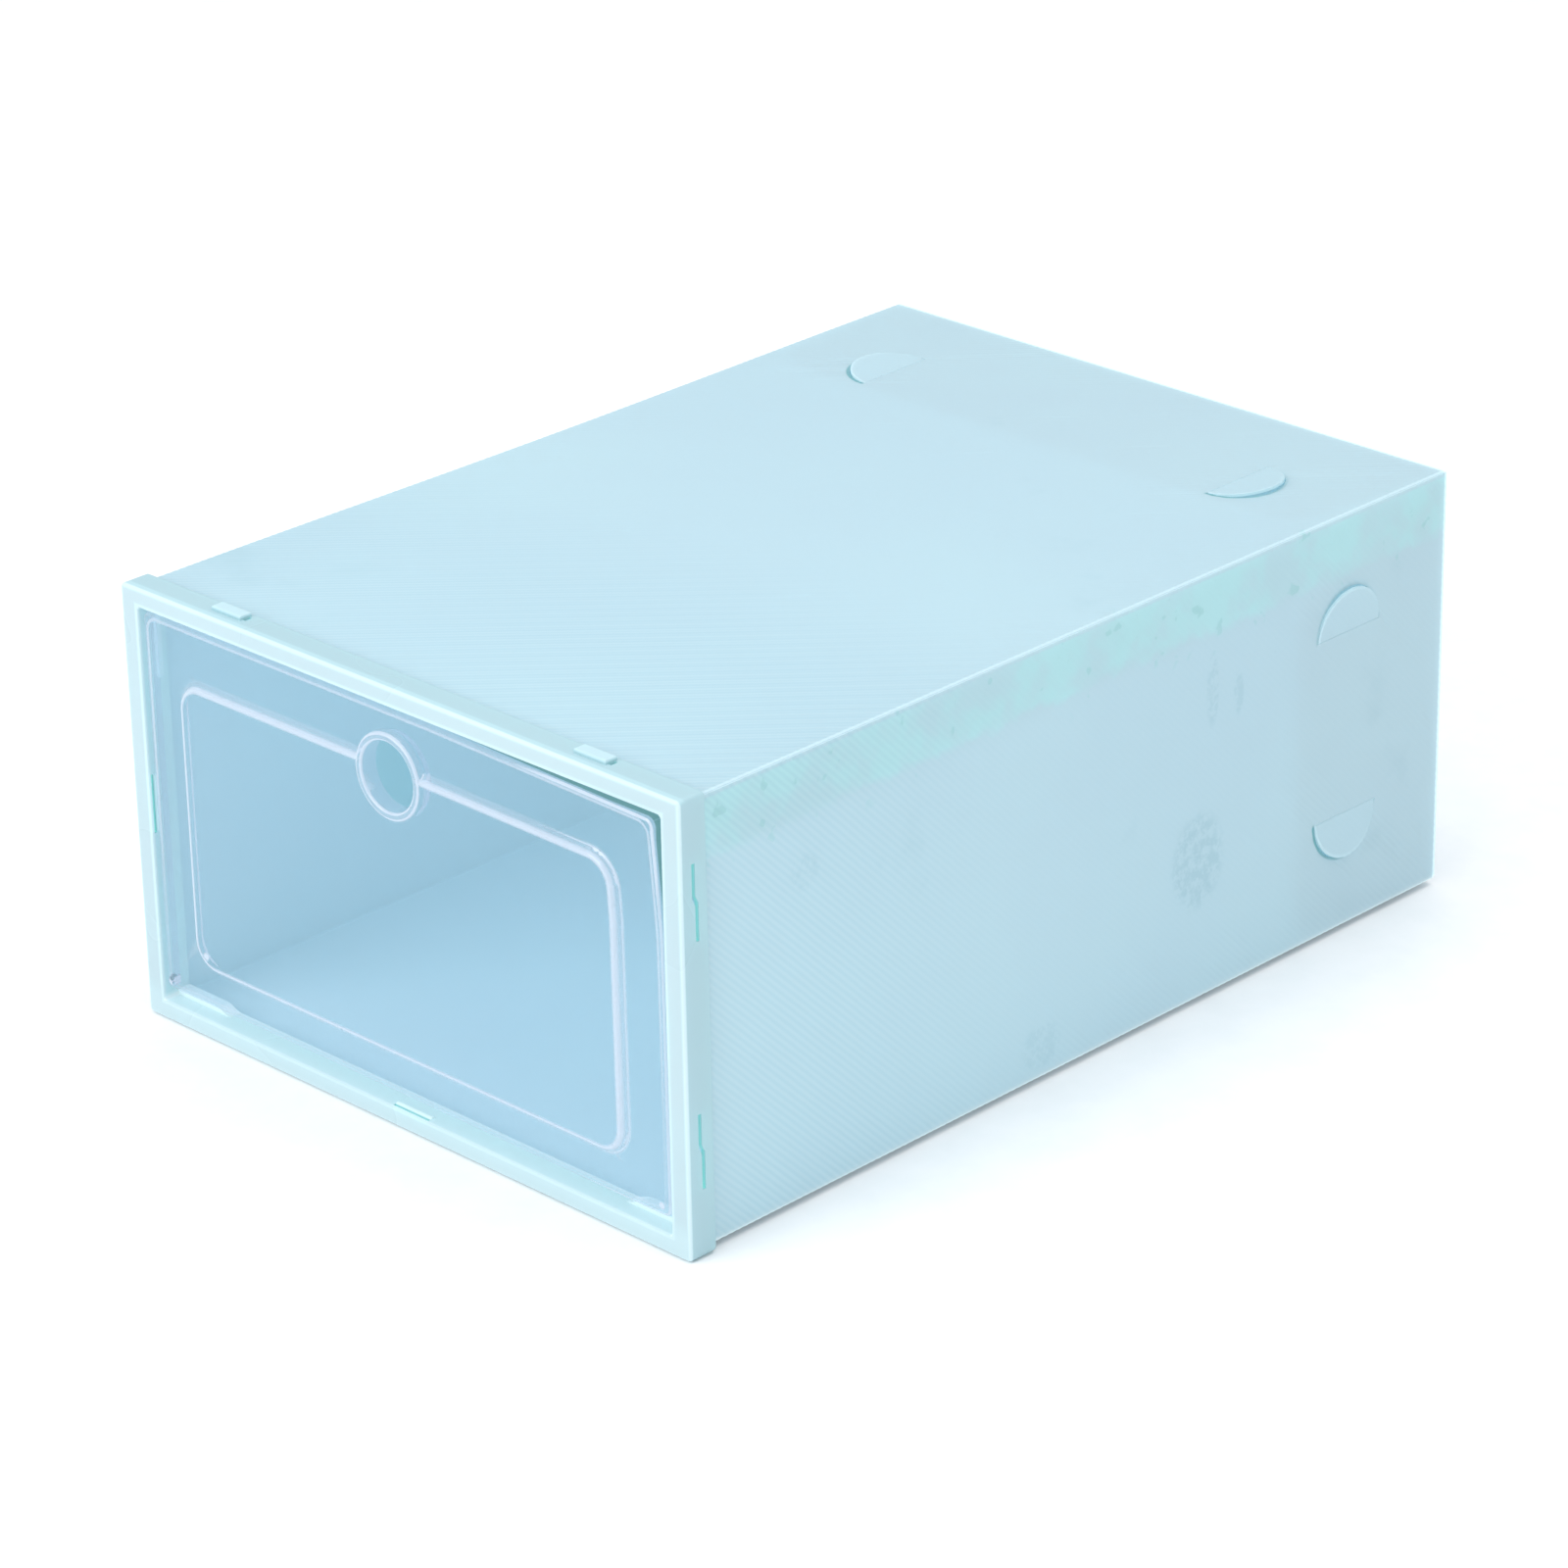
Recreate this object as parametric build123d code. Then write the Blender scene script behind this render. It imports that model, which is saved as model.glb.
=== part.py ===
from build123d import *
import math
import os

# Flip-front shoe box, 232 x 330 x 140 mm (width x depth x height).
# A knock-down box: a folded tube of 0.8 mm polypropylene sheet with a tuck-in
# back, a moulded front frame pushed on to the tube's front end, and a clear
# moulded door that swings down on two pins in the frame.
#
# Origin at the centre of the footprint on the table.
# +X right, +Y to the back, +Z up. The door faces -Y.
# A "depth" (names with _D) is measured back from the frame's front face.

os.makedirs("parts", exist_ok=True)

SIDES = (-1, 1)          # left, right
OVERLAP = 0.1            # how far an added feature bites into its wall

# ---------------------------------------------------------------- overall
WIDTH = 232.0            # over the front frame
HEIGHT = 140.0           # over the front frame, without the stacking lugs
DEPTH = 330.0            # frame face to the tube's rear edge
RING_PROUD = 1.6         # the door's thumb ring stands this far in front of the frame
Y_FRONT = -(DEPTH - RING_PROUD) / 2
HALF_WIDTH = WIDTH / 2

# ---------------------------------------------------------------- front frame
FRAME_DEPTH = 10.0
BAR_SIDE = 7.3           # visible width of the side bars
BAR_TOP = 6.0
BAR_BOTTOM = 6.0
FACE_T = 2.0             # front flange thickness
RIM_T = 1.5              # outer rim, around the outside of the sheet
JAMB_T = 1.4             # inner wall, around the opening
OUTLINE_R = 1.6          # corners of the frame's outline
OPEN_R = 1.2             # corners of the opening
CHANNEL_R = 1.0          # corners of the channel
EDGE_R = 1.0             # outer front edges of the frame
EDGE_R_IN = 0.5          # front edges around the opening
EDGE_R_REAR = 0.4        # outer rear edges of the side rims
OPEN_X = HALF_WIDTH - BAR_SIDE
OPEN_Z0 = BAR_BOTTOM
OPEN_Z1 = HEIGHT - BAR_TOP
RIM_X = HALF_WIDTH - RIM_T     # inner face of the side rims
JAMB_X = OPEN_X + JAMB_T       # outer face of the jambs
JAMB_Z0 = OPEN_Z0 - JAMB_T
JAMB_Z1 = OPEN_Z1 + JAMB_T

# pinch ribs across the channel
RIB_T = 1.2
RIB_D1 = 9.2
RIB_SLOT = 1.0           # gap left beside the rim for the sheet
SIDE_RIB_Z = (22.0, 52.0, 88.0, 120.0)
BAR_RIB_X = (-90.0, -45.0, 0.0, 45.0, 90.0)

# stacking lugs on the top bar, and the slots that take them in the bottom bar
LUG_X = (-73.5, 77.5)
LUG_W, LUG_L, LUG_H = 12.5, 4.4, 1.3
LUG_D = 6.5              # depth of the lug's centre
LUG_EDGE_R = 0.45
PIT_W, PIT_L = 1.2, 2.6  # relief pit at each end of a lug
SLOT_W, SLOT_L, SLOT_DEEP = 13.3, 5.2, 1.5

# S-shaped snap slits in the side rims, each beside a pair of snap teeth
SLIT_Z = (108.7, 33.0)
SLIT_HALF = 11.75
# depth, height above the slit's centre
SLIT_OUTLINE = (
    (4.2, SLIT_HALF), (4.2, 1.3), (5.3, -0.9), (5.3, -SLIT_HALF),
    (6.5, -SLIT_HALF), (6.5, -0.3), (5.4, 1.9), (5.4, SLIT_HALF),
)
TOOTH_H = 0.75
# depth from, to; height above the slit's centre from, to
TEETH = ((5.75, 7.2, 3.0, 11.0), (3.7, 5.05, -11.0, -2.2))

# door-stop ribs near the top of both jambs
STOP_H = 1.5
STOP_D = (5.5, 7.1)
STOP_Z = (110.3, 129.6)

# door rest beads on all four sides of the opening, each behind a narrow slot
BEAD_D, BEAD_R = 2.7, 0.9
BEAD_OUT = 0.35          # stand-out of the side and top beads
BEAD_OUT_BOTTOM = 0.5
SIDE_BEAD_Z, SIDE_BEAD_LEN = 70.5, 18.0
TOP_BEAD_X = (-6.5, 7.5)
BOTTOM_BEAD_X = (-7.0, 8.0)
BEAD_SLOT_D = (0.85, 1.7)
SIDE_SLOT_Z = (61.0, 80.0)
TOP_SLOT_X = (-5.0, 6.0)

# raised pads in the opening's lower corners, ramping down towards the middle
PAD_D0 = 5.6
PAD_BASE_Z, PAD_TOP_Z = 5.0, 7.8
RAMP_X0, RAMP_X1 = 84.5, 91.5

# door hinge line
PIN_D = 4.0
PIN_Z = 11.8
PIN_R = 1.5
PIN_REACH = 2.6
SOCKET_R = 1.58
BOSS_R, BOSS_REACH = 2.1, 0.4  # collar at the root of each pin

# ---------------------------------------------------------------- door
DOOR_GAP = 0.75
DOOR_X = OPEN_X - DOOR_GAP
DOOR_Z0 = 10.2
DOOR_Z1 = OPEN_Z1 - 0.7
DOOR_D0 = 1.0            # front face of the door's base plate
DOOR_T = 1.6
DOOR_D1 = 5.0            # rear edge of the perimeter flange
DOOR_FLANGE = 1.5
DOOR_R = 3.0
DOOR_EDGE_R = 1.5
POCKET_R = 2.0
PLATE_BACK_D = DOOR_D0 + DOOR_T
PLATEAU_H = 2.2
PLATEAU_X = 92.0         # half width at the base
PLATEAU_Z0, PLATEAU_Z1 = 23.0, 117.0
PLATEAU_R = 10.0
PLATEAU_DRAFT = 40.0     # degrees
PLATEAU_EDGE_R, PLATEAU_ROOT_R = 1.2, 0.6
RING_Z = 113.0
RING_RO, RING_RI = 13.4, 10.8
RING_D0, RING_D1 = -RING_PROUD, 4.2
RING_STEP = 0.9          # the ring is this much smaller in radius behind the plate
RING_EDGE_R, RING_EDGE_R_IN = 1.0, 0.8

# ---------------------------------------------------------------- sheet body
SHEET_T = 0.8
PROUD = 1.6              # the frame stands this far outside the sheet
SX = HALF_WIDTH - PROUD  # sheet's outer faces
SZ0 = PROUD
SZ1 = HEIGHT - PROUD
SHEET_D0 = 2.2           # front edge of the tube, inside the frame's channel
CREASE_R = 0.9
MITRE_REACH = 30.0       # how far the panels' mitred cutters reach into the tube
WINDOW_D = (3.3, 7.6)    # windows over the frame's snap teeth
WINDOW_HALF = 12.2
SEAM_W = 18.0            # lap seam flap inside the top of the right side

TONGUE_R = 14.5          # half-moon lock tongues
TONGUE_GAP = 0.15
TONGUE_RAISE = 5.0       # degrees that a tongue stands proud at rest
TONGUE_D_TOP = 282.5     # depth of the tongues' centres
TONGUE_D_SIDE = 284.5
TONGUE_X = HALF_WIDTH - 44.5
TONGUE_Z_UPPER, TONGUE_Z_LOWER = 100.0, 40.0
FLAP_SLOT_CLEAR = 0.6    # clearance round the tongues in the tuck flaps

# back closure, hinged on the bottom panel's rear crease
BACK_D = DEPTH - 0.3     # outer face
FLAP_ROOT_D = BACK_D - SHEET_T
BACK_X = 112.4
BACK_Z1 = 137.3
CREASE_CUT = 5.0         # reach of the crease cutters
FLAP_TIP_R = 10.0
TOP_FLAP_LEN = 63.0
TOP_FLAP_X = 111.3
TOP_FLAP_TAPER = 3.0     # on each side
SIDE_FLAP_LEN = 68.0
SIDE_FLAP_Z = (2.9, 134.0)    # at the crease
SIDE_FLAP_TIP = (4.4, 116.0)  # at the tip, low enough to swing out under the top


# ================================================================ helpers
def y_at(depth):
    return Y_FRONT + depth


def rect(x0, x1, z0, z1, radius=0.0):
    centre = Pos((x0 + x1) / 2, (z0 + z1) / 2)
    if radius:
        return centre * RectangleRounded(x1 - x0, z1 - z0, radius)
    return centre * Rectangle(x1 - x0, z1 - z0)


def polygon(*points):
    return make_face(Polyline(*points, close=True))


def slab(sketch, d0, d1, taper=0.0):
    """Extrude an X-Z sketch forwards from depth d1 to depth d0."""
    plane = Plane(origin=(0, y_at(d1), 0), x_dir=(1, 0, 0), z_dir=(0, -1, 0))
    return extrude(plane * sketch, amount=d1 - d0, taper=taper)


def side_plane(x):
    """Y-Z sketch plane at x, facing +X."""
    return Plane(origin=(x, 0, 0), x_dir=(0, 1, 0), z_dir=(1, 0, 0))


def block(x0, x1, d0, d1, z0, z1):
    """Box between two depths; x0 and x1 may come in either order."""
    centre = Pos((x0 + x1) / 2, (y_at(d0) + y_at(d1)) / 2, (z0 + z1) / 2)
    return centre * Box(abs(x1 - x0), d1 - d0, z1 - z0)


def rod_x(x0, x1, depth, z, radius):
    centre = Pos((x0 + x1) / 2, y_at(depth), z)
    return centre * (Rot(0, 90, 0) * Cylinder(radius, abs(x1 - x0)))


def edges_at(shape, depth):
    """Edges that lie wholly in the plane at this depth."""
    y, tol = y_at(depth), 1e-3
    found = []
    for edge in shape.edges():
        box = edge.bounding_box()
        if abs(box.min.Y - y) < tol and abs(box.max.Y - y) < tol:
            found.append(edge)
    return found


# ================================================================ front frame
def frame_shell():
    frame = slab(rect(-HALF_WIDTH, HALF_WIDTH, 0, HEIGHT, OUTLINE_R), 0, FRAME_DEPTH)
    frame -= slab(rect(-OPEN_X, OPEN_X, OPEN_Z0, OPEN_Z1, OPEN_R), -1, FRAME_DEPTH + 1)

    outer = [e for e in edges_at(frame, 0)
             if abs(e.center().X) > OPEN_X + 3 or not 3 < e.center().Z < HEIGHT - 3]
    frame = fillet(outer, EDGE_R)
    inner = [e for e in edges_at(frame, 0)
             if abs(e.center().X) < OPEN_X + 2 and 3 < e.center().Z < HEIGHT - 3]
    frame = fillet(inner, EDGE_R_IN)
    rear = []
    for edge in edges_at(frame, FRAME_DEPTH):
        box = edge.bounding_box()
        at_rim = box.max.X > HALF_WIDTH - 2 or box.min.X < -HALF_WIDTH + 2
        if at_rim and box.size.Z > 50:
            rear.append(edge)
    frame = fillet(rear, EDGE_R_REAR)

    # channel at the rear, which takes the front end of the tube
    channel = slab(rect(-RIM_X, RIM_X, RIM_T, HEIGHT - RIM_T, CHANNEL_R),
                   FACE_T, FRAME_DEPTH + 1)
    channel -= slab(rect(-JAMB_X, JAMB_X, JAMB_Z0, JAMB_Z1, CHANNEL_R),
                    FACE_T - 1, FRAME_DEPTH + 2)
    return frame - channel


def add_pinch_ribs(frame):
    d0 = FACE_T - OVERLAP
    for z in SIDE_RIB_Z:
        for side in SIDES:
            frame += block(side * (JAMB_X - OVERLAP), side * (RIM_X - RIB_SLOT),
                           d0, RIB_D1, z - RIB_T / 2, z + RIB_T / 2)
    for x in BAR_RIB_X:
        x0, x1 = x - RIB_T / 2, x + RIB_T / 2
        frame += block(x0, x1, d0, RIB_D1, RIM_T + RIB_SLOT, JAMB_Z0 + OVERLAP)
        frame += block(x0, x1, d0, RIB_D1, JAMB_Z1 - OVERLAP, HEIGHT - RIM_T - RIB_SLOT)
    return frame


def add_stacking_lugs(frame):
    for x in LUG_X:
        lug = block(x - LUG_W / 2, x + LUG_W / 2, LUG_D - LUG_L / 2, LUG_D + LUG_L / 2,
                    HEIGHT - 0.3, HEIGHT + LUG_H)
        top = lug.faces().sort_by(Axis.Z)[-1]
        frame += fillet(top.edges(), LUG_EDGE_R)
        for end in SIDES:
            pit_x = x + end * (LUG_W + PIT_W) / 2
            frame -= block(pit_x - PIT_W / 2, pit_x + PIT_W / 2,
                           LUG_D - PIT_L / 2, LUG_D + PIT_L / 2,
                           HEIGHT - RIM_T - 0.2, HEIGHT + 0.4)
        frame -= block(x - SLOT_W / 2, x + SLOT_W / 2, LUG_D - SLOT_L / 2, LUG_D + SLOT_L / 2,
                       -0.5, SLOT_DEEP + 0.2)
    return frame


def add_snaps(frame):
    for side in SIDES:
        for slit_z in SLIT_Z:
            outline = polygon(*[(y_at(d), slit_z + z) for d, z in SLIT_OUTLINE])
            face = side_plane(side * (RIM_X - 0.3)) * outline
            frame -= extrude(face, amount=side * (RIM_T + 0.8))
            for d0, d1, z0, z1 in TEETH:
                frame += block(side * (RIM_X - TOOTH_H), side * (RIM_X + OVERLAP),
                               d0, d1, slit_z + z0, slit_z + z1)
    return frame


def add_door_rests(frame):
    for side in SIDES:
        frame += block(side * (OPEN_X - STOP_H), side * (OPEN_X + OVERLAP), *STOP_D, *STOP_Z)
    for side in SIDES:
        bead_x = side * (OPEN_X + BEAD_R - BEAD_OUT)
        frame += Pos(bead_x, y_at(BEAD_D), SIDE_BEAD_Z) * Cylinder(BEAD_R, SIDE_BEAD_LEN)
        frame -= block(side * (OPEN_X - 1), side * (OPEN_X + 1.3), *BEAD_SLOT_D, *SIDE_SLOT_Z)
    frame += rod_x(*TOP_BEAD_X, BEAD_D, OPEN_Z1 + BEAD_R - BEAD_OUT, BEAD_R)
    frame -= block(*TOP_SLOT_X, *BEAD_SLOT_D, OPEN_Z1 - 1, OPEN_Z1 + 1.2)
    frame += rod_x(*BOTTOM_BEAD_X, BEAD_D, OPEN_Z0 - BEAD_R + BEAD_OUT_BOTTOM, BEAD_R)
    frame -= block(*BOTTOM_BEAD_X, *BEAD_SLOT_D, OPEN_Z0 - 1.2, OPEN_Z0 + 1)
    return frame


def add_corner_pads(frame):
    for side in SIDES:
        wall_x = side * (OPEN_X + 0.5)
        ramp_top = (side * RAMP_X1, PAD_TOP_Z)
        ramp_mid = (side * (RAMP_X0 + RAMP_X1) / 2, (PAD_TOP_Z + OPEN_Z0) / 2)
        ramp_foot = (side * RAMP_X0, OPEN_Z0)
        with BuildLine() as profile:
            Polyline((wall_x, PAD_BASE_Z), (wall_x, PAD_TOP_Z), ramp_top)
            Spline(ramp_top, ramp_mid, ramp_foot, tangents=((-side, 0), (-side, 0)))
            Polyline(ramp_foot, (side * RAMP_X0, PAD_BASE_Z), (wall_x, PAD_BASE_Z))
        frame += slab(make_face(profile.line), PAD_D0, FRAME_DEPTH)
    return frame


def front_frame():
    frame = frame_shell()
    frame = add_pinch_ribs(frame)
    frame = add_stacking_lugs(frame)
    frame = add_snaps(frame)
    frame = add_door_rests(frame)
    frame = add_corner_pads(frame)
    # hinge sockets through the jambs
    for side in SIDES:
        frame -= rod_x(side * (OPEN_X - 0.5), side * (JAMB_X + 0.5), PIN_D, PIN_Z, SOCKET_R)
    return frame


# ================================================================ door
def front_door():
    door = slab(rect(-DOOR_X, DOOR_X, DOOR_Z0, DOOR_Z1, DOOR_R), DOOR_D0, DOOR_D1)
    door = fillet(edges_at(door, DOOR_D0), DOOR_EDGE_R)
    # the pocket runs out at the bottom, so the flange has three sides
    pocket_x = DOOR_X - DOOR_FLANGE
    door -= slab(rect(-pocket_x, pocket_x, DOOR_Z0 - 10, DOOR_Z1 - DOOR_FLANGE, POCKET_R),
                 PLATE_BACK_D, DOOR_D1 + 1)

    # raised centre panel
    plateau_d = DOOR_D0 - PLATEAU_H
    plateau = slab(rect(-PLATEAU_X, PLATEAU_X, PLATEAU_Z0, PLATEAU_Z1, PLATEAU_R),
                   plateau_d, DOOR_D0, taper=PLATEAU_DRAFT)
    door += fillet(edges_at(plateau, plateau_d), PLATEAU_EDGE_R)
    root = [e for e in edges_at(door, DOOR_D0)
            if abs(e.center().X) < PLATEAU_X + 0.5
            and PLATEAU_Z0 - 0.5 < e.center().Z < PLATEAU_Z1 + 0.5]
    door = fillet(root, PLATEAU_ROOT_R)

    # its hollow back, inset so that the sloping walls keep the door's thickness
    inset = DOOR_T * math.tan(math.radians(90 - PLATEAU_DRAFT) / 2)
    hollow_x = PLATEAU_X - inset
    hollow = slab(rect(-hollow_x, hollow_x, PLATEAU_Z0 + inset, PLATEAU_Z1 - inset,
                       PLATEAU_R - inset),
                  PLATE_BACK_D - PLATEAU_H, PLATE_BACK_D, taper=PLATEAU_DRAFT)

    # thumb ring, fused after the hollow is cut so that it stays whole
    centre = Pos(0, RING_Z)
    ring = slab(centre * Circle(RING_RO), RING_D0, PLATE_BACK_D)
    ring = fillet(edges_at(ring, RING_D0), RING_EDGE_R)
    ring += slab(centre * Circle(RING_RO - RING_STEP), PLATE_BACK_D - 0.5, RING_D1)
    door -= hollow
    door += ring
    door -= slab(centre * Circle(RING_RI), RING_D0 - 1, RING_D1 + 1)
    bore_edges = [e for e in edges_at(door, RING_D0) if e.length < 2 * math.pi * RING_RI + 0.5]
    door = fillet(bore_edges, RING_EDGE_R_IN)

    # hinge pins and their collars, on the lower ends of the side flanges
    for side in SIDES:
        for reach, radius in ((PIN_REACH, PIN_R), (BOSS_REACH, BOSS_R)):
            door += rod_x(side * (DOOR_X - 0.3), side * (DOOR_X + reach), PIN_D, PIN_Z, radius)
    return door


# ================================================================ half-moon locks
# name: (middle of the hinge chord, direction of the bulge, outward normal)
TONGUES = {
    "tongue_top_left": ((-TONGUE_X, y_at(TONGUE_D_TOP), SZ1), (-1, 0, 0), (0, 0, 1)),
    "tongue_top_right": ((TONGUE_X, y_at(TONGUE_D_TOP), SZ1), (1, 0, 0), (0, 0, 1)),
}
for side_name, side in (("right", 1), ("left", -1)):
    for level, z, bulge in (("upper", TONGUE_Z_UPPER, 1), ("lower", TONGUE_Z_LOWER, -1)):
        TONGUES[f"tongue_{side_name}_{level}"] = (
            (side * SX, y_at(TONGUE_D_SIDE), z), (0, 0, bulge), (side, 0, 0))


def half_moon(place, radius, t_in, t_out=0.0, start=0.0):
    """Half disc on a TONGUES place, t_in deep and t_out proud, its chord moved by start."""
    origin, bulge, normal = place
    plane = Plane(origin=origin, x_dir=bulge, z_dir=normal)
    sketch = Circle(radius) & (Pos(start + radius, 0) * Rectangle(2 * radius, 4 * radius))
    body = extrude(plane * sketch, amount=-t_in)
    if t_out:
        body += extrude(plane * sketch, amount=t_out)
    return body


def tongue(place):
    """The die-cut half disc, hinged on its chord and standing slightly proud."""
    origin, bulge, normal = place
    hinge = tuple(Vector(*bulge).cross(Vector(*normal)))
    body = half_moon(place, TONGUE_R - TONGUE_GAP, SHEET_T)
    return body.rotate(Axis(origin, hinge), TONGUE_RAISE)


def places_on(wall):
    return [place for name, place in TONGUES.items() if name.startswith(f"tongue_{wall}_")]


def cut_tongue_holes(panel, wall):
    for place in places_on(wall):
        panel -= half_moon(place, TONGUE_R, SHEET_T + 0.5, 0.5)
    return panel


def cut_flap_slots(flap, wall):
    for place in places_on(wall):
        flap -= half_moon(place, TONGUE_R + FLAP_SLOT_CLEAR, 6.0, start=-FLAP_SLOT_CLEAR)
    return flap


# ================================================================ tube of sheet
def sheet_tube():
    tube = slab(rect(-SX, SX, SZ0, SZ1, CREASE_R), SHEET_D0, DEPTH)
    inner_x = SX - SHEET_T
    tube -= slab(rect(-inner_x, inner_x, SZ0 + SHEET_T, SZ1 - SHEET_T),
                 SHEET_D0 - 1, DEPTH + 1)
    return tube


def tube_panel(*corners):
    """The part of the tube inside a wedge; the panels meet on mitred creases."""
    return sheet_tube() & slab(polygon(*corners), -5, DEPTH + 5)


def crease_cutter(*offsets):
    """Full-width cutter; offsets (y, z) are in CREASE_CUT steps from the back crease."""
    points = [(y_at(BACK_D) + y * CREASE_CUT, SZ0 + z * CREASE_CUT) for y, z in offsets]
    return extrude(side_plane(-150) * polygon(*points), amount=300)


MITRE_X = SX - MITRE_REACH
MITRE_Z0 = SZ0 + MITRE_REACH
MITRE_Z1 = SZ1 - MITRE_REACH


def bottom_panel():
    panel = tube_panel((-SX, SZ0), (SX, SZ0), (MITRE_X, MITRE_Z0), (-MITRE_X, MITRE_Z0))
    return panel - crease_cutter((0, 0), (-1, 1), (1, 1), (1, -1), (0, -1))


def top_panel():
    panel = tube_panel((-SX, SZ1), (-MITRE_X, MITRE_Z1), (MITRE_X, MITRE_Z1), (SX, SZ1))
    return cut_tongue_holes(panel, "top")


def finish_side_panel(panel, side, wall):
    for z in SLIT_Z:
        panel -= block(side * SX - 2, side * SX + 2, *WINDOW_D, z - WINDOW_HALF, z + WINDOW_HALF)
    return cut_tongue_holes(panel, wall)


def left_panel():
    panel = tube_panel((-SX, SZ0), (-MITRE_X, MITRE_Z0), (-MITRE_X, MITRE_Z1), (-SX, SZ1))
    return finish_side_panel(panel, -1, "left")


def right_panel():
    panel = tube_panel((SX, SZ0), (SX, SZ1), (MITRE_X, MITRE_Z1), (MITRE_X, MITRE_Z0))
    return finish_side_panel(panel, 1, "right")


def seam_flap():
    """Folded down from the top panel and bonded inside the right side."""
    x1 = SX - SHEET_T
    z1 = SZ1 - SHEET_T
    return block(x1 - SHEET_T, x1, FRAME_DEPTH + 1.5, DEPTH - 0.5, z1 - SEAM_W, z1)


# ================================================================ back closure
def back_panel():
    back = block(-BACK_X, BACK_X, FLAP_ROOT_D, BACK_D, SZ0, BACK_Z1)
    return back - crease_cutter((0, 0), (-1, 1), (-1, -1), (0, -1))


def back_top_flap():
    root_y = y_at(FLAP_ROOT_D)
    tip_y = root_y - TOP_FLAP_LEN
    tip_x = TOP_FLAP_X - TOP_FLAP_TAPER
    outline = polygon((-TOP_FLAP_X, root_y), (TOP_FLAP_X, root_y), (tip_x, tip_y), (-tip_x, tip_y))
    outline = fillet(outline.vertices().sort_by(Axis.Y)[:2], FLAP_TIP_R)
    flap = extrude(Plane.XY.offset(BACK_Z1 - SHEET_T) * outline, amount=SHEET_T)
    return cut_flap_slots(flap, "top")


def back_side_flap(side, wall):
    root_y = y_at(FLAP_ROOT_D)
    tip_y = root_y - SIDE_FLAP_LEN
    root_z0, root_z1 = SIDE_FLAP_Z
    tip_z0, tip_z1 = SIDE_FLAP_TIP
    outline = polygon((root_y, root_z0), (root_y, root_z1), (tip_y, tip_z1), (tip_y, tip_z0))
    # the sketch's own X axis runs along the box's Y
    outline = fillet(outline.vertices().sort_by(Axis.X)[:2], FLAP_TIP_R)
    x0 = BACK_X - SHEET_T if side > 0 else -BACK_X
    flap = extrude(side_plane(x0) * outline, amount=SHEET_T)
    return cut_flap_slots(flap, wall)


# ================================================================ write
nodes = {
    "front_frame": front_frame(),
    "door": front_door(),
    "bottom_panel": bottom_panel(),
    "top_panel": top_panel(),
    "left_panel": left_panel(),
    "right_panel": right_panel(),
    "seam_flap": seam_flap(),
    "back_panel": back_panel(),
    "back_top_flap": back_top_flap(),
    "back_left_flap": back_side_flap(-1, "left"),
    "back_right_flap": back_side_flap(1, "right"),
}
for name, place in TONGUES.items():
    nodes[name] = tongue(place)

for name, shape in nodes.items():
    solids = shape.solids()
    out = solids[0] if len(solids) == 1 else Compound(children=list(solids))
    out.label = name
    export_step(out, f"parts/{name}.step")
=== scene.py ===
"""A storage case: a folded, ribbed plastic sheet tube with a moulded front frame, a clear
door in it and a back that tucks in.

x runs to the right, y from the front (negative) to the back, z up from the table. Meshes are
laid out in millimetres and scaled to metres. Materials, lights and camera are in metres.
"""
import math
from functools import reduce

import bmesh
import bpy
import numpy as np
from mathutils import Matrix, Vector
from mathutils.geometry import delaunay_2d_cdt


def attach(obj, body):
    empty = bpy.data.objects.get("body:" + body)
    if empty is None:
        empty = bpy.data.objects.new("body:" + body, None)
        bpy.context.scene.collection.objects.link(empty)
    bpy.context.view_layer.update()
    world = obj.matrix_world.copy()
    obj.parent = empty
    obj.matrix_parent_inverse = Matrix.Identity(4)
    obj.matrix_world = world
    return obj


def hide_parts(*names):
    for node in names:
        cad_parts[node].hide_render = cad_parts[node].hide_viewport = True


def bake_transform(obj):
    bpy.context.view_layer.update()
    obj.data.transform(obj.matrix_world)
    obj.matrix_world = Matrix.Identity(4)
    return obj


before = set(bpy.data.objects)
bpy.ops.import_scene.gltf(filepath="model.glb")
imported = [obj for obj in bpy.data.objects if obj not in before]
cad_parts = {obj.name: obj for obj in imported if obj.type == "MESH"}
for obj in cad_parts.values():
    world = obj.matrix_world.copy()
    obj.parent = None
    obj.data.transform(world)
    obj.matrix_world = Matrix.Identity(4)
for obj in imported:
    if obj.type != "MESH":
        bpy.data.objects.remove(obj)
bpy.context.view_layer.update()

scene = bpy.context.scene

# ------------------------------------------------------------------ driving sizes, mm
MM = 0.001
FRONT_Y, REAR_Y = -164.2, 165.8     # front face of the frame, rear edge of the sheet
SIDE_X = 114.4                      # outer faces of the sheet
BOTTOM_Z, TOP_Z = 1.6, 138.4
SHEET_T = 0.78
CREASE_R = 1.0                      # outside radius of a fold
RIB_PITCH = 1.91                    # embossed ribs, running diagonally
RIB_HEIGHT = 0.060                  # above and below the mean face

TONGUE_R = 14.5                     # half-round tongues cut in the tube
TONGUE_TOP_X, TONGUE_TOP_Y = 71.5, FRONT_Y + 282.5
TONGUE_UPPER_Z, TONGUE_LOWER_Z = 100.0, 40.0
TONGUE_SIDE_Y = FRONT_Y + 284.5
SNAP_Z = (108.7, 33.0)              # centres of the snap slots in the sides
SNAP_HALF = 12.2


# ------------------------------------------------------------------ node building
def srgb(*channels):
    """Linear RGBA from 8-bit sRGB channels."""
    out = []
    for v in channels:
        v /= 255.0
        out.append(v / 12.92 if v <= 0.04045 else ((v + 0.055) / 1.055) ** 2.4)
    return (*out, 1.0)


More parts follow.
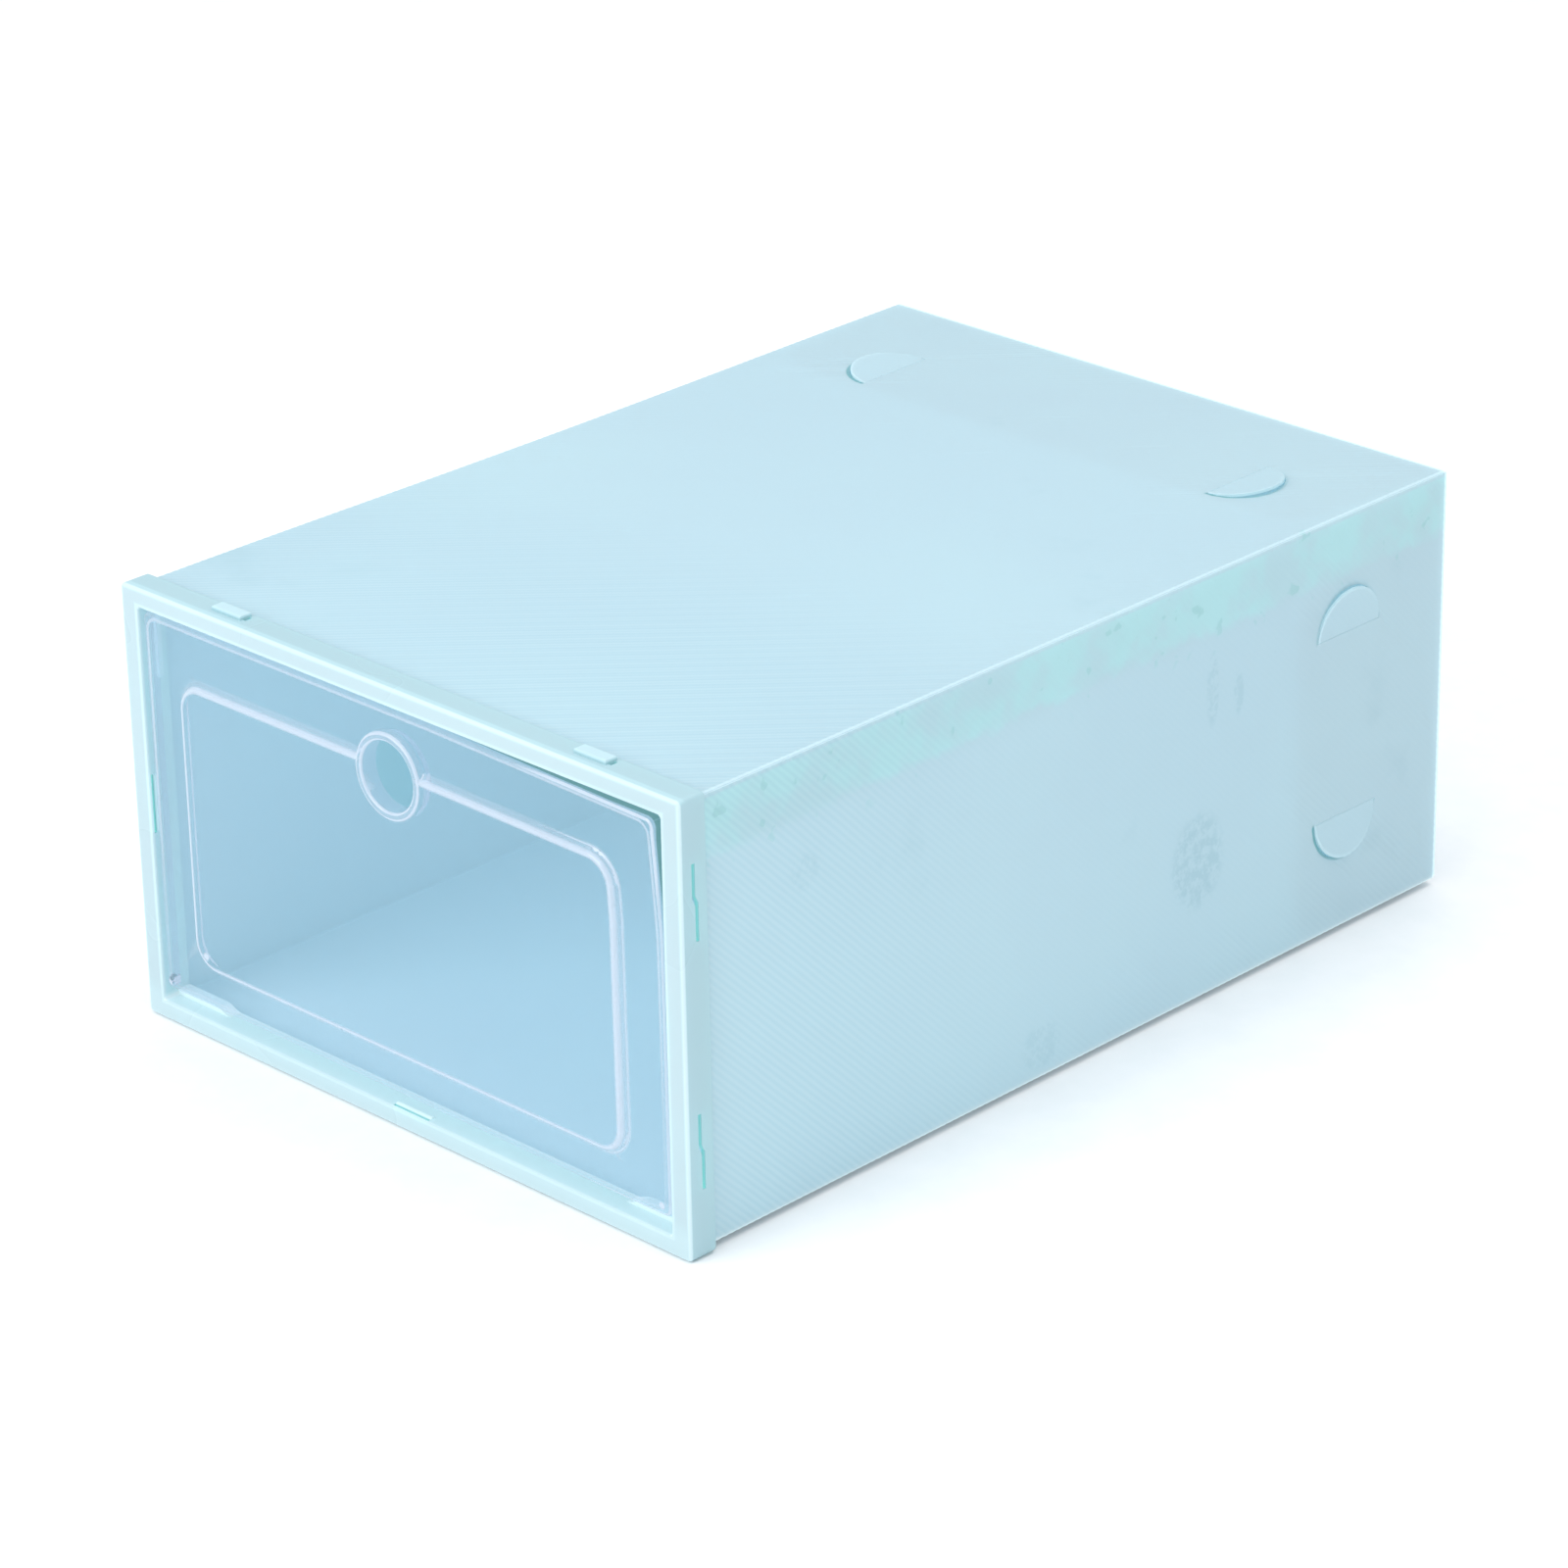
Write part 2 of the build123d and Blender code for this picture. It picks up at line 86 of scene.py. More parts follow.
class Value:
    """A node output. Arithmetic on it adds Math nodes to its material."""

    def __init__(self, material, socket):
        self.material = material
        self.socket = socket

    def __add__(self, other):
        return self.material.math("ADD", self, other)

    def __sub__(self, other):
        return self.material.math("SUBTRACT", self, other)

    def __rsub__(self, other):
        return self.material.math("SUBTRACT", other, self)

    def __mul__(self, other):
        return self.material.math("MULTIPLY", self, other)

    def __truediv__(self, other):
        return self.material.math("DIVIDE", self, other)

    def __abs__(self):
        return self.material.math("ABSOLUTE", self)

    def ramp(self, over, to=(0.0, 1.0), smooth=True):
        """Maps the span `over` onto the span `to`; either may run downwards."""
        inputs = {"Value": self, "From Min": over[0], "From Max": over[1],
                  "To Min": to[0], "To Max": to[1]}
        return self.material.make("MapRange", inputs, "Result",
                                  interpolation_type="SMOOTHSTEP" if smooth else "LINEAR")


def largest(*values):
    return reduce(lambda a, b: a.material.math("MAXIMUM", a, b), values)


def hypot(a, b):
    return a.material.math("SQRT", a * a + b * b)


class Material:
    def __init__(self, name):
        self.data = bpy.data.materials.new(name)
        self.data.use_nodes = True
        self.tree = self.data.node_tree
        self.tree.nodes.clear()
        self.output = self.node("OutputMaterial")
        self.coords = self.node("TexCoord").outputs["Object"]

    def node(self, kind, inputs=(), **settings):
        node = self.tree.nodes.new("ShaderNode" + kind)
        for key, value in settings.items():
            setattr(node, key, value)
        for key, value in dict(inputs).items():
            self.put(node.inputs[key], value)
        return node

    def make(self, kind, inputs=(), output=0, **settings):
        """Adds a node and returns one of its outputs."""
        return Value(self, self.node(kind, inputs, **settings).outputs[output])

    def put(self, socket, value):
        if isinstance(value, Value):
            value = value.socket
        if isinstance(value, bpy.types.NodeSocket):
            self.tree.links.new(value, socket)
        else:
            socket.default_value = value

    def math(self, operation, first, second=0.0, clamp=False):
        return self.make("Math", {0: first, 1: second, 2: 0.0},
                         operation=operation, use_clamp=clamp)

    def noise(self, scale, detail=2.0, rough=0.5, offset=(0, 0, 0), stretch=(1, 1, 1)):
        place = self.make("Mapping", {"Location": offset, "Scale": stretch,
                                      "Vector": self.coords})
        return self.make("TexNoise", {"Scale": scale, "Detail": detail, "Roughness": rough,
                                      "Vector": place}, "Fac")

    def attribute(self, name):
        return self.make("Attribute", output="Fac", attribute_name=name)

    def split(self, vector):
        return [Value(self, s) for s in self.node("SeparateXYZ", {0: vector}).outputs]

    def mix_colour(self, factor, first, second):
        return self.make("Mix", {0: factor, 6: first, 7: second}, 2, data_type="RGBA")

    def mix_shader(self, factor, first, second):
        return self.make("MixShader", {0: factor, 1: first, 2: second})

    def bump(self, height, strength, distance):
        return self.make("Bump", {"Strength": strength, "Distance": distance,
                                  "Height": height}, "Normal")

    def finish(self, shader):
        self.put(self.output.inputs["Surface"], shader)
        self.data.cycles.emission_sampling = "NONE"    # the glow is too faint to act as a lamp
        return self.data


# ------------------------------------------------------------------ sheet material
# Faint marks on the right side: centre y, centre z, half length in y, in z, strength
SIDE_MARKS = (
    (0.0518, 0.0470, 0.0125, 0.0165, 0.30),
    (0.0578, 0.1005, 0.0030, 0.0130, 0.22),
    (0.0695, 0.0960, 0.0026, 0.0075, 0.22),
    (-0.0180, 0.0120, 0.0090, 0.0080, 0.16),
    (-0.1150, 0.1020, 0.0060, 0.0060, 0.14),
)
# Half-moon cuts: on the top?, centre in |x| (top) or z (sides), centre y,
# side the round lies on, strength of the painted shadow in the gap, strength of the painted
# highlight on the lip
HALF_MOONS = (
    (True, TONGUE_TOP_X * MM, TONGUE_TOP_Y * MM, 1, 1.0, 0.9),
    (False, TONGUE_UPPER_Z * MM, TONGUE_SIDE_Y * MM, 1, 0.35, 1.0),
    (False, TONGUE_LOWER_Z * MM, TONGUE_SIDE_Y * MM, -1, 1.0, 0.8),
)
BEAT_PITCH = 0.00477    # slow beat across the ribs of the top


def on_right(x):
    return x.ramp(over=(0.1100, 0.1125))


def on_top(z):
    return z.ramp(over=(0.1360, 0.1370))


def lap_tint(m, colour, x, z):
    """The bonded lap shows as a greener, speckled band along the top of the right side."""
    wander = m.noise(scale=60.0, detail=3.0, rough=0.65) - 0.5
    edge = z + wander * 0.012
    band = edge.ramp(over=(0.1175, 0.1215)) * z.ramp(over=(0.1375, 0.1365)) * on_right(x)
    patches = m.noise(scale=34.0, detail=3.0, rough=0.7, offset=(3, 1, 2))
    patches = patches.ramp(over=(0.40, 0.62), to=(0.35, 1.0))
    colour = m.mix_colour(band * (patches * 0.9), colour, srgb(206, 240, 240))
    specks = m.noise(scale=170.0, offset=(1, 4, 2)).ramp(over=(0.66, 0.72))
    near = z.ramp(over=(0.108, 0.122)) * on_right(x)
    return m.mix_colour(specks * near * 0.6, colour, srgb(178, 220, 218))


def handling_marks(m, x, y, z):
    marks = m.noise(scale=18.0, detail=4.0, rough=0.6, offset=(5, 2, 9))
    marks = marks.ramp(over=(0.62, 0.75), to=(0.0, 0.14))
    grain = m.noise(scale=330.0, rough=0.7, offset=(2, 2, 2)).ramp(over=(0.38, 0.62))
    for centre_y, centre_z, half_y, half_z, strength in SIDE_MARKS:
        along = (y - centre_y) / half_y
        up = (z - centre_z) / half_z
        spot = (along * along + up * up).ramp(over=(1.15, 0.45), to=(0.0, strength))
        marks = largest(marks, spot * (grain * on_right(x)))
    return marks


def half_moon_cuts(m, x, y, z):
    """Masks of the die-cut half moons: a painted shadow in the gap beside a painted highlight
    on the lip.
    """
    side = abs(x)
    gaps, lips = [], []
    for is_top, centre, centre_y, way, gap_strength, lip_strength in HALF_MOONS:
        across = (side if is_top else z) - centre
        along = y - centre_y
        radius = hypot(across, along)
        face = on_top(z) if is_top else side.ramp(over=(0.1110, 0.1120))
        half = (across * way).ramp(over=(-0.0010, 0.0006))
        frontward = m.math("SUBTRACT", 0.50, along / radius * 0.50, clamp=True)
        mask = face * half * frontward
        gaps.append(mask * abs(radius - 0.01480).ramp(over=(0.00085, 0.00025),
                                                      to=(0.0, gap_strength)))
        lips.append(mask * abs(radius - 0.01375).ramp(over=(0.00070, 0.00018),
                                                      to=(0.0, lip_strength)))
    return largest(*gaps), largest(*lips)


def sheet_material(name, clear, cuts):
    """Ribbed sheet. `clear` is how much is seen straight through; `cuts` marks the tube."""
    m = Material(name)
    cloud = m.noise(scale=9.0, detail=3.0, rough=0.55)
    fine = m.noise(scale=420.0, rough=0.6)
    colour = m.mix_colour(cloud.ramp(over=(0.35, 0.7), to=(0.0, 0.35)),
                          srgb(211, 228, 234), srgb(215, 234, 237))
    x, y, z = m.split(m.coords)
    colour = lap_tint(m, colour, x, z)
    colour = m.mix_colour(handling_marks(m, x, y, z), colour, srgb(150, 188, 196))
    # painted shade: rib valleys are painted darker than their tops, most of all near the front
    valley_shade = m.attribute("rib").ramp(over=(0.15, 0.85), to=(1.0, 0.0))
    valley_shade = valley_shade * y.ramp(over=(-0.010, -0.120), to=(0.03, 0.20))
    colour = m.mix_colour(valley_shade, colour, srgb(166, 204, 216))
    if cuts:
        # painted shade: a slow beat of darker bands across the top's ribs, strongest towards
        # the front, stands in for light playing over them
        phase = (x - y) * (2 * math.pi / (math.sqrt(2) * BEAT_PITCH))
        beat = m.math("SINE", phase).ramp(over=(-1.0, 1.0))
        beat = beat * (on_top(z) * y.ramp(over=(0.000, -0.090), to=(0.0, 0.15)))
        beat = beat * x.ramp(over=(-0.080, 0.040), to=(0.4, 1.0))
        colour = m.mix_colour(beat, colour, srgb(176, 206, 218))
    # painted highlight: folds, the rear edge, cut edges and the tongues' lips are lightened and
    # glow faintly; along the folds this is partly stress whitening
    shine = m.attribute("fold")
    if cuts:
        shine = largest(shine, y.ramp(over=(0.16450, 0.16520)))
        gap, lip = half_moon_cuts(m, x, y, z)
        # painted shadow in the gaps of the half-moon cuts
        colour = m.mix_colour(gap * 0.85, colour, srgb(96, 172, 176))
        shine = largest(shine, lip * 0.5)
    colour = m.mix_colour(shine * 0.65, colour, srgb(236, 248, 251))

    # scattered light leaves again on the inside, which is smoother than the outside
    inner = m.attribute("inner")
    normal = m.bump(fine, strength=(1.0 - inner) * 0.10, distance=0.0002)
    surface = m.make("BsdfPrincipled", {
        "Base Color": colour,
        "Roughness": fine.ramp(over=(0.3, 0.7), to=(0.30, 0.42)),
        "IOR": 1.49,
        "Normal": normal,
        "Emission Color": m.mix_colour(shine, srgb(158, 206, 220), srgb(236, 250, 253)),
        "Emission Strength": inner * 0.20 + shine * 0.24})
    through = m.make("BsdfTranslucent", {
        "Color": m.mix_colour(0.5, colour, srgb(208, 242, 250)), "Normal": normal})
    see_through = m.make("BsdfTransparent", {"Color": srgb(225, 245, 250)})
    # the bottom lies on the table, so little light comes through it
    raised = z.ramp(over=(0.0026, 0.0034))
    share = raised.ramp(over=(0.0, 1.0), to=(0.25, 1.0)) * 0.40
    shader = m.mix_shader(share, surface, through)
    return m.finish(m.mix_shader(raised * clear, shader, see_through))


# ------------------------------------------------------------------ frame material
def frame_lines(x, y, z, front, beyond_opening):
    """Painted highlights along the frame's edges and on the parts that stand up from its top.
    """
    beyond_rim = largest(abs(x) - 0.116, abs(z - 0.070) - 0.070)
    lines = largest(
        beyond_rim.ramp(over=(-0.0016, -0.0005), to=(0.0, 0.9)),
        abs(beyond_opening - 0.0006).ramp(over=(0.0011, 0.0002), to=(0.0, 0.7)))
    lug = z.ramp(over=(0.1402, 0.1408), to=(0.0, 0.8))
    brow = z.ramp(over=(0.1386, 0.1396), to=(0.0, 0.5)) * y.ramp(over=(-0.1610, -0.1620))
    sill = front * z.ramp(over=(0.0140, 0.0060), to=(0.0, 0.42))
    return largest(largest(lines * front, lug), largest(brow, sill))


def snap_slits(m, side, y, z):
    """Mask of the walls of the snap slits."""
    upper, lower = (abs(z - centre * MM) for centre in SNAP_Z)
    slit = m.math("MINIMUM", upper, lower).ramp(over=(SNAP_HALF * MM, 0.0118))
    slit = slit * (side.ramp(over=(0.1159, 0.1157)) * side.ramp(over=(0.1094, 0.1098)))
    return slit * (y.ramp(over=(-0.1616, -0.1612)) * y.ramp(over=(-0.1562, -0.1568)))


def frame_material(name):
    m = Material(name)
    cloud = m.noise(scale=14.0)
    fine = m.noise(scale=900.0)
    x, y, z = m.split(m.coords)
    # 0 deep in the grooves, 1 on open faces
    openness = m.make("AmbientOcclusion", {"Distance": 0.0025}, "AO", samples=4,
                      only_local=True).ramp(over=(0.05, 0.35))
    front = y.ramp(over=(-0.1630, -0.1636))
    body = m.mix_colour(cloud.ramp(over=(0.3, 0.7), to=(0.0, 0.4)),
                        srgb(186, 214, 223), srgb(191, 218, 226))
    # painted light: the front face takes a lighter copy of the body colour, as it faces the
    # lamps
    face = m.mix_colour(cloud.ramp(over=(0.3, 0.7)), srgb(200, 220, 227), srgb(203, 223, 229))
    # painted shade: deep in grooves and slits the colour turns a darker teal
    colour = m.mix_colour(openness, srgb(128, 208, 198), m.mix_colour(front, body, face))

    # light carried inside the plastic leaves at grooves, edges and inside the opening
    side = abs(x)
    beyond_opening = largest(side - 0.1087, abs(z - 0.070) - 0.064)
    lines = frame_lines(x, y, z, front, beyond_opening)
    recess = beyond_opening.ramp(over=(0.0003, -0.0001)) * openness.ramp(over=(0.2, 0.8))
    groove = largest(openness.ramp(over=(0.0, 1.0), to=(1.05, 0.0)),
                     snap_slits(m, side, y, z) * 0.42)
    ledge = z.ramp(over=(0.0085, 0.0070))
    opening_glow = m.mix_colour(ledge, srgb(214, 232, 232), srgb(246, 245, 240))
    glow = m.mix_colour(recess, srgb(122, 206, 190), opening_glow)
    recess_strength = recess * ledge.ramp(over=(0.0, 1.0), to=(0.34, 0.44))
    surface = m.make("BsdfPrincipled", {
        "Base Color": colour,
        "Roughness": cloud.ramp(over=(0.3, 0.7), to=(0.24, 0.34)),
        "IOR": 1.49,
        "Normal": m.bump(fine, strength=0.05, distance=0.0002),
        "Emission Color": m.mix_colour(lines, glow, srgb(238, 248, 252)),
        "Emission Strength": largest(groove, largest(recess_strength, lines * 0.28))})
    through = m.make("BsdfTranslucent", {"Color": srgb(182, 220, 229)})
    return m.finish(m.mix_shader(0.25, surface, through))


# ------------------------------------------------------------------ door material
# Small round glints near the door's lower corners: x, z, radius
DOOR_GLINTS = ((-0.0858, 0.0285, 0.0016), (-0.1068, 0.0122, 0.0017), (0.1040, 0.0135, 0.0014))


def rounded_outline(m, x, z, half_width, bottom, top, corner, line):
    """A line of half width `line` along a rounded rectangle."""
    past_x = abs(x) - (half_width - corner)
    past_z = abs(z - (bottom + top) / 2) - ((top - bottom) / 2 - corner)
    outside = hypot(largest(past_x, 0.0), largest(past_z, 0.0))
    within = m.math("MINIMUM", largest(past_x, past_z), 0.0)
    return abs(outside + (within - corner)).ramp(over=(line, line * 0.25))


def door_outlines(m, x, z, radius):
    """Painted highlight lines round the raised panel and the rim, and the glints, kept off the
    round hole.
    """
    away = radius.ramp(over=(0.0105, 0.0135))
    panel_front = rounded_outline(m, x, z, half_width=0.0902, bottom=0.0248, top=0.1152,
                                  corner=0.0082, line=0.0015)
    panel_base = rounded_outline(m, x, z, half_width=0.0921, bottom=0.0229, top=0.1171,
                                 corner=0.0101, line=0.0010)
    glow = largest(panel_front * 0.92,
                   panel_base * x.ramp(over=(0.070, 0.088), to=(0.15, 0.40)))
    for glint_x, glint_z, size in DOOR_GLINTS:
        distance = hypot(x - glint_x, z - glint_z)
        glow = largest(glow, distance.ramp(over=(size, size * 0.4), to=(0.0, 1.2)))
    rim = rounded_outline(m, x, z, half_width=0.1058, bottom=0.0125, top=0.1315,
                          corner=0.0040, line=0.0008)
    return largest(glow, rim * z.ramp(over=(0.02, 0.10), to=(0.2, 0.6))) * away


def door_light(m, x, y, z, facing):
    """Where the door gathers light. `facing` is 1 on faces square to the front."""
    fillet = facing.ramp(over=(0.9995, 0.97)) * facing.ramp(over=(0.640, 0.74))
    # the base edge of the raised panel is duller than its front edge, least on the right
    base = y.ramp(over=(-0.1648, -0.1640))
    fillet = fillet * base.ramp(over=(0.0, 1.0),
                                to=(1.0, x.ramp(over=(0.070, 0.088), to=(0.28, 0.75))))
    radius = hypot(x, z - 0.113)    # from the centre of the round hole
    hole = radius.ramp(over=(0.0146, 0.0138)) * facing.ramp(over=(0.9999, 0.96))
    hole = hole * (facing.ramp(over=(0.05, 0.25), to=(0.30, 1.0)) * 0.9)
    rim = largest(abs(x).ramp(over=(0.1055, 0.1070)),
                  largest(z.ramp(over=(0.1312, 0.1322)), z.ramp(over=(0.0120, 0.0108))))
    rim = rim * facing.ramp(over=(0.99, 0.6), to=(0.0, 0.16))
    wall = facing.ramp(over=(0.74, 0.66)) * facing.ramp(over=(0.55, 0.62), to=(0.0, 0.34))
    band = radius.ramp(over=(0.0107, 0.0110)) * radius.ramp(over=(0.0137, 0.0133),
                                                           to=(0.0, 0.30))
    edge = largest(fillet, door_outlines(m, x, z, radius), band)
    return m.math("MAXIMUM", largest(edge, wall), largest(hole, rim), clamp=True)


def door_material(name):
    m = Material(name)
    cloud = m.noise(scale=22.0, detail=3.0)
    scratch = m.noise(scale=300.0, rough=0.6, stretch=(1, 1, 0.08))
    geometry = m.node("NewGeometry")
    local_normal = m.make("VectorTransform", {0: geometry.outputs["Normal"]},
                          vector_type="NORMAL", convert_from="WORLD", convert_to="OBJECT")
    facing = abs(m.split(local_normal)[1])
    x, y, z = m.split(m.coords)
    lit = door_light(m, x, y, z, facing)

    clear = m.make("BsdfTransparent", {"Color": srgb(247, 250, 254)})
    gloss = m.make("BsdfGlossy", {
        "Color": (1, 1, 1, 1),
        "Roughness": scratch.ramp(over=(0.35, 0.7), to=(0.10, 0.20)),
        "Normal": m.bump(cloud, strength=0.03, distance=0.0006)})
    haze_colour = srgb(232, 238, 250)
    haze = m.mix_shader(0.4, m.make("BsdfDiffuse", {"Color": haze_colour}),
                        m.make("BsdfTranslucent", {"Color": haze_colour}))
    glow = m.make("Emission", {"Color": srgb(217, 230, 248), "Strength": 0.9})
    haze = m.mix_shader(0.35, haze, glow)
    shader = m.mix_shader(lit.ramp(over=(0.0, 1.0), to=(0.09, 0.90), smooth=False),
                          clear, haze)

    # the shadowed gap round the corner that stands forward
    gap = facing.ramp(over=(0.45, 0.25)) * y.ramp(over=(-0.1652, -0.1647))
    right_edge = x.ramp(over=(0.1068, 0.1074)) * z.ramp(over=(0.085, 0.115))
    top_edge = z.ramp(over=(0.1320, 0.1326)) * x.ramp(over=(0.010, 0.060))
    gap = gap * largest(right_edge, top_edge)
    shadow = m.make("Emission", {"Color": srgb(92, 146, 148)})
    shader = m.mix_shader(gap * 0.85, shader, shadow)
    reflection = m.math("MULTIPLY", m.make("Fresnel", {"IOR": 1.5}), 0.8, clamp=True)
    shader = m.mix_shader(reflection, shader, gloss)
    inside = m.make("BsdfTransparent", {"Color": srgb(250, 252, 254)})
    return m.finish(m.mix_shader(geometry.outputs["Backfacing"], shader, inside))


def floor_material(name):
    m = Material(name)
    mottle = m.noise(scale=60.0, detail=3.0, rough=0.6).ramp(over=(0.3, 0.7))
    return m.finish(m.make("BsdfPrincipled", {
        "Base Color": m.mix_colour(mottle, srgb(246, 247, 248), srgb(250, 250, 251)),
        "Roughness": 0.6,
        "Specular IOR Level": 0.2}))


SHEET = sheet_material("pp_sheet", clear=0.035, cuts=True)
FLAPS = sheet_material("pp_sheet_flaps", clear=0.16, cuts=False)
FRAME = frame_material("pp_moulding")
DOOR = door_material("clear_moulding")


# ------------------------------------------------------------------ flat ribbed blanks
def inside_polygon(polygon, px, py):
    """Even-odd test of points against one polygon."""
    result = np.zeros(px.shape, bool)
    corners = np.asarray(polygon, float)
    for (x0, y0), (x1, y1) in zip(corners, np.roll(corners, -1, 0)):
        if y0 == y1:
            continue
        spans = (y0 > py) != (y1 > py)
        result ^= spans & (px < (x1 - x0) * (py - y0) / (y1 - y0) + x0)
    return result


def triangle_edges(triangles):
    return np.concatenate([triangles[:, [0, 1]], triangles[:, [1, 2]], triangles[:, [2, 0]]])


def merge_close(points, triangles, distance=3e-3):
    """Makes one point of a corner and a rib line's end that lie almost together."""
    edges = triangle_edges(triangles)
    gaps = np.linalg.norm(points[edges[:, 0]] - points[edges[:, 1]], axis=1)
    target = np.arange(len(points))
    for a, b in np.sort(edges[gaps < distance], axis=1).tolist():
        target[target == target[b]] = target[a]
    t = target[triangles]
    return t[(t[:, 0] != t[:, 1]) & (t[:, 1] != t[:, 2]) & (t[:, 2] != t[:, 0])]


def rib_height(points):
    """Triangle wave across the ribs, which run where s - y is constant."""
    across = (points[:, 0] - points[:, 1]) / math.sqrt(2)
    return RIB_HEIGHT * (1.0 - 4.0 * np.abs(np.mod(across / RIB_PITCH, 1.0) - 0.5))


def blank(outline, holes, s_lines, y_lines):
    """Points, triangles and rib heights of a flat die-cut blank in (s, y).

    It is split at each rib's top and valley and along the given lines."""
    (s_min, y_min), (s_max, y_max) = np.min(outline, 0), np.max(outline, 0)
    points, edges = [], []

    def add_loop(corners):
        first, count = len(points), len(corners)
        points.extend(Vector((float(a), float(b))) for a, b in corners)
        edges.extend((first + i, first + (i + 1) % count) for i in range(count))

    def add_line(start, end):
        edges.append((len(points), len(points) + 1))
        points.extend((Vector(start), Vector(end)))

    for corners in (outline, *holes):
        add_loop(corners)
    for s in s_lines:
        if s_min + 0.01 < s < s_max - 0.01:
            add_line((s, y_min), (s, y_max))
    for y in y_lines:
        if y_min + 0.01 < y < y_max - 0.01:
            add_line((s_min, y), (s_max, y))
    half = RIB_PITCH / 2
    first, last = (s_min - y_max) / math.sqrt(2), (s_max - y_min) / math.sqrt(2)
    for k in range(int(first / half) - 1, int(last / half) + 2):
        offset = k * half * math.sqrt(2)      # s - y along this line
        start, end = max(s_min, y_min + offset), min(s_max, y_max + offset)
        if end - start > 0.05:
            add_line((start, start - offset), (end, end - offset))

    points, _, triangles, *_ = delaunay_2d_cdt(points, edges, [], 1, 1e-4)
    points = np.array([p[:] for p in points], float)
    triangles = np.array(triangles, int)
    centres = points[triangles].mean(1)
    keep = inside_polygon(outline, centres[:, 0], centres[:, 1])
    for hole in holes:
        keep &= ~inside_polygon(hole, centres[:, 0], centres[:, 1])
    a, b, c = (points[triangles[:, i]] for i in range(3))
    double_area = ((b[:, 0] - a[:, 0]) * (c[:, 1] - a[:, 1])
                   - (b[:, 1] - a[:, 1]) * (c[:, 0] - a[:, 0]))
    triangles = merge_close(points, triangles[keep & (np.abs(double_area) > 1e-7)])
    used = np.unique(triangles)
    renumber = -np.ones(len(points), int)
    renumber[used] = np.arange(len(used))
    points = points[used]
    return points, renumber[triangles], rib_height(points)


# ------------------------------------------------------------------ meshes from blanks
def add_mesh(name, points, faces, sharp_pairs, material, attributes=()):
    """Smooth-shaded object from points in mm; sharp_pairs are vertex pairs."""
    mesh = bpy.data.meshes.new(name)
    mesh.from_pydata([tuple(p) for p in (np.asarray(points) * MM)], [],
                     [tuple(map(int, f)) for f in faces])
    mesh.validate(clean_customdata=False)
    mesh.update()
    mesh.polygons.foreach_set("use_smooth", [True] * len(mesh.polygons))
    if sharp_pairs:
        ends = np.zeros(len(mesh.edges) * 2, int)
        mesh.edges.foreach_get("vertices", ends)
        ends = np.sort(ends.reshape(-1, 2), 1)
        sharp = np.sort(np.array(sharp_pairs, int), 1)
        count = len(mesh.vertices)
        flags = np.isin(ends[:, 0] * count + ends[:, 1], sharp[:, 0] * count + sharp[:, 1])
        mesh.edges.foreach_set("use_edge_sharp", flags.tolist())
    for key, values in dict(attributes).items():
        layer = mesh.attributes.new(key, "FLOAT", "POINT")
        layer.data.foreach_set("value", np.asarray(values, np.float32))
    mesh.materials.append(material)
    ob = bpy.data.objects.new(name, mesh)
    scene.collection.objects.link(ob)
    return ob


def add_sheet(name, flat, shape, material, replaces, body,
              creases=(), whiten_and_shine=False, edge_white_and_shine=0.15):
    """Folds a blank with shape(s, y, height): ribbed outside, plain inside, cut edges.

    Shading is split along both sides of each crease, and the creases can be painted white:
    partly stress whitening, partly a painted highlight."""
    points, triangles, heights = flat
    count = len(points)
    outer = shape(points[:, 0], points[:, 1], heights)
    inner = shape(points[:, 0], points[:, 1], np.full(count, -SHEET_T))
    a, b, c = (outer[triangles[:, i]] for i in range(3))
    thickness = outer[triangles[:, 0]] - inner[triangles[:, 0]]
    if np.einsum("ij,ij->i", np.cross(b - a, c - a), thickness).sum() < 0:
        triangles = triangles[:, ::-1]
    edges = triangle_edges(triangles)
    _, first, uses = np.unique(np.sort(edges, 1), axis=0, return_index=True,
                               return_counts=True)
    rim = edges[first[uses == 1]]
    sharp = []
    fold = np.zeros(count)
    for crease in creases:
        for s in crease:
            on_line = np.abs(points[:, 0] - s) < 4e-3
            pairs = edges[on_line[edges[:, 0]] & on_line[edges[:, 1]]].tolist()
            sharp += [(a, b) for a, b in pairs] + [(a + count, b + count) for a, b in pairs]
        if whiten_and_shine:
            middle, half = sum(crease) / 2, (crease[1] - crease[0]) / 2
            crease_white_and_shine = 1.25 * (1 - np.abs(points[:, 0] - middle) / half)
            fold = np.maximum(fold, np.clip(crease_white_and_shine, 0, 1))
    # cut edges have their own points, so that their whitening and painted highlight don't
    # spread over the faces
    rim_points = np.unique(rim)
    rim_count = len(rim_points)
    own = {int(v): 2 * count + i for i, v in enumerate(rim_points)}
    faces = [tuple(f) for f in triangles] + [tuple(f + count) for f in triangles[:, ::-1]]
    faces += [(own[b], own[a], own[a] + rim_count, own[b] + rim_count)
              for a, b in rim.tolist()]
    ribs = (heights / RIB_HEIGHT + 1) / 2
    edge_ones = np.ones(2 * rim_count)
    attributes = {
        "fold": np.concatenate([fold, np.zeros(count), edge_ones * edge_white_and_shine]),
        "rib": np.concatenate([ribs, np.full(count, 0.6), edge_ones]),
        "inner": np.concatenate([np.zeros(count), np.ones(count), edge_ones * 0]),
    }
    ob = add_mesh(name, np.concatenate([outer, inner, outer[rim_points], inner[rim_points]]),
                  faces, sharp, material, attributes)
    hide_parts(*replaces)
    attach(ob, body)


def left_of(angle):
    return np.stack([-np.sin(angle), np.cos(angle)], -1)


